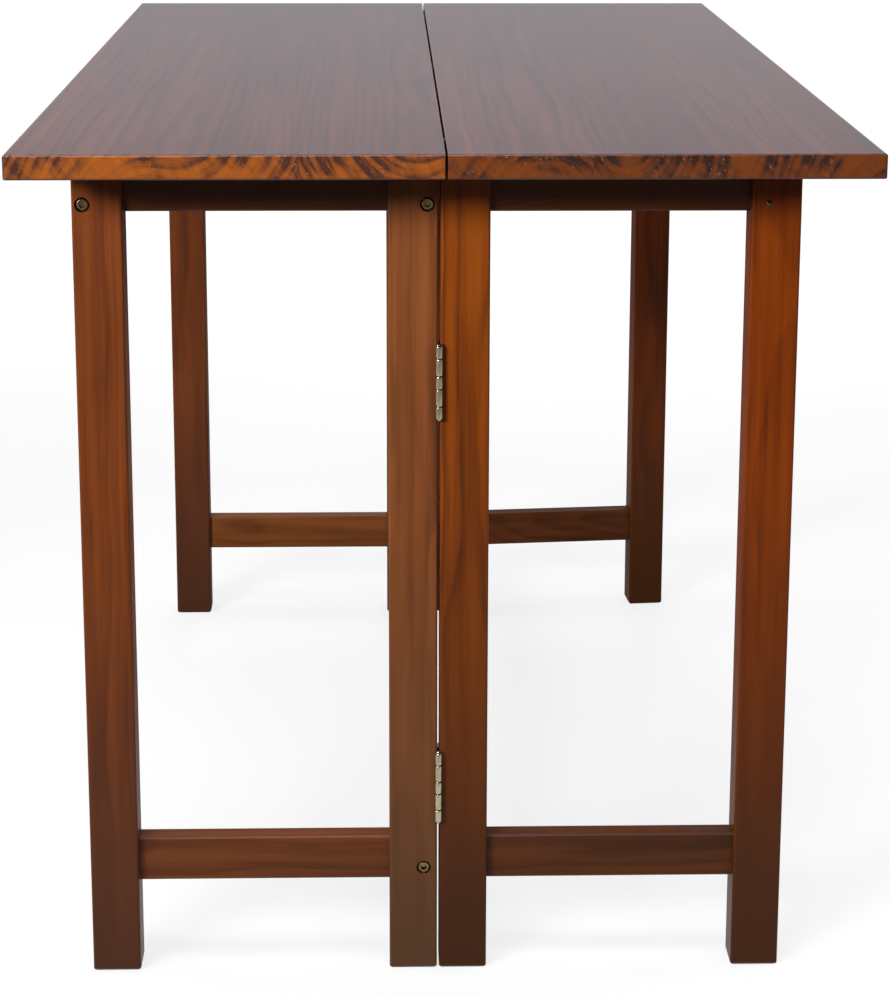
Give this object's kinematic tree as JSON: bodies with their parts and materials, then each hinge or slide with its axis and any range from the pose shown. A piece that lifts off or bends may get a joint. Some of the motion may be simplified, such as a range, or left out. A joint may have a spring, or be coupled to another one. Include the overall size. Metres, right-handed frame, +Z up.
{
  "type": "folding console table",
  "caption": "Narrow pine console table whose second leaf folds over the seam onto two hinged leg gates, shown open with one gate a few degrees ajar.",
  "frame": {"origin": "on the floor, under the middle of the open tabletop", "axes": "+X across the table from the console towards the leaf, +Y along the table from the near end to the far end, +Z up"},
  "size_m": [0.7, 1.2, 0.75],
  "materials": {
    "top_pine": "stained red-brown, satin lacquer",
    "frame_pine": "stained red-brown, satin lacquer",
    "dowel_beech": "bare",
    "hinge_brass": "pale brass plating, worn, satin",
    "bolt_brass": "antique brass, satin",
    "zinc_steel": "zinc plated"
  },
  "bodies": {
    "console": {"barrel_nuts": "zinc_steel", "console_top": "top_pine", "far_console_end_rail": "frame_pine", "far_console_end_stretcher": "frame_pine", "far_console_hinge_screws": "hinge_brass", "far_console_inner_leg": "frame_pine", "far_console_outer_leg": "frame_pine", "far_frame_bolts": "bolt_brass", "far_lower_hinge_console_leaf": "hinge_brass", "far_lower_hinge_pin": "hinge_brass", "far_upper_hinge_console_leaf": "hinge_brass", "far_upper_hinge_pin": "hinge_brass", "fold_hinge_console_halves": "hinge_brass", "inner_long_rail": "frame_pine", "long_rail_dowels": "dowel_beech", "low_long_rail": "frame_pine", "near_console_end_rail": "frame_pine", "near_console_end_stretcher": "frame_pine", "near_console_hinge_screws": "hinge_brass", "near_console_inner_leg": "frame_pine", "near_console_outer_leg": "frame_pine", "near_frame_bolts": "bolt_brass", "near_lower_hinge_console_leaf": "hinge_brass", "near_lower_hinge_pin": "hinge_brass", "near_upper_hinge_console_leaf": "hinge_brass", "near_upper_hinge_pin": "hinge_brass", "outer_long_rail": "frame_pine", "top_screws": "zinc_steel"},
    "near_gate": {"near_gate_end_rail": "frame_pine", "near_gate_hinge_screws": "hinge_brass", "near_gate_inner_leg": "frame_pine", "near_gate_outer_leg": "frame_pine", "near_gate_stretcher": "frame_pine", "near_gate_tack": "bolt_brass", "near_lower_hinge_gate_leaf": "hinge_brass", "near_upper_hinge_gate_leaf": "hinge_brass"},
    "far_gate": {"far_gate_end_rail": "frame_pine", "far_gate_hinge_screws": "hinge_brass", "far_gate_inner_leg": "frame_pine", "far_gate_outer_leg": "frame_pine", "far_gate_stretcher": "frame_pine", "far_gate_tack": "bolt_brass", "far_lower_hinge_gate_leaf": "hinge_brass", "far_upper_hinge_gate_leaf": "hinge_brass"},
    "leaf": {"flip_leaf": "top_pine", "fold_hinge_leaf_halves": "hinge_brass"},
    "fold_links": {"fold_hinge_middle_links": "hinge_brass"}
  },
  "joints": [
    {"name": "near_gate_swing", "type": "hinge", "parent": "console", "child": "near_gate", "pos_m": [-0.0035, -0.49925, 0], "axis": [0, 0, -1], "range_deg": [0, 180]},
    {"name": "far_gate_swing", "type": "hinge", "parent": "console", "child": "far_gate", "pos_m": [-0.0035, 0.49925, 0], "axis": [0, 0, 1], "range_deg": [-5, 175]},
    {"name": "leaf_fold", "type": "hinge", "parent": "console", "child": "leaf", "pos_m": [0, 0, 0.75025], "axis": [0, -1, 0], "range_deg": [0, 180]},
    {"name": "fold_link_turn", "type": "hinge", "parent": "console", "child": "fold_links", "pos_m": [0, 0, 0.75025], "axis": [0, -1, 0], "range_deg": [0, 90]}
  ],
  "couplings": [
    {"joint": "fold_link_turn", "follows": "leaf_fold", "ratio": 0.5}
  ]
}
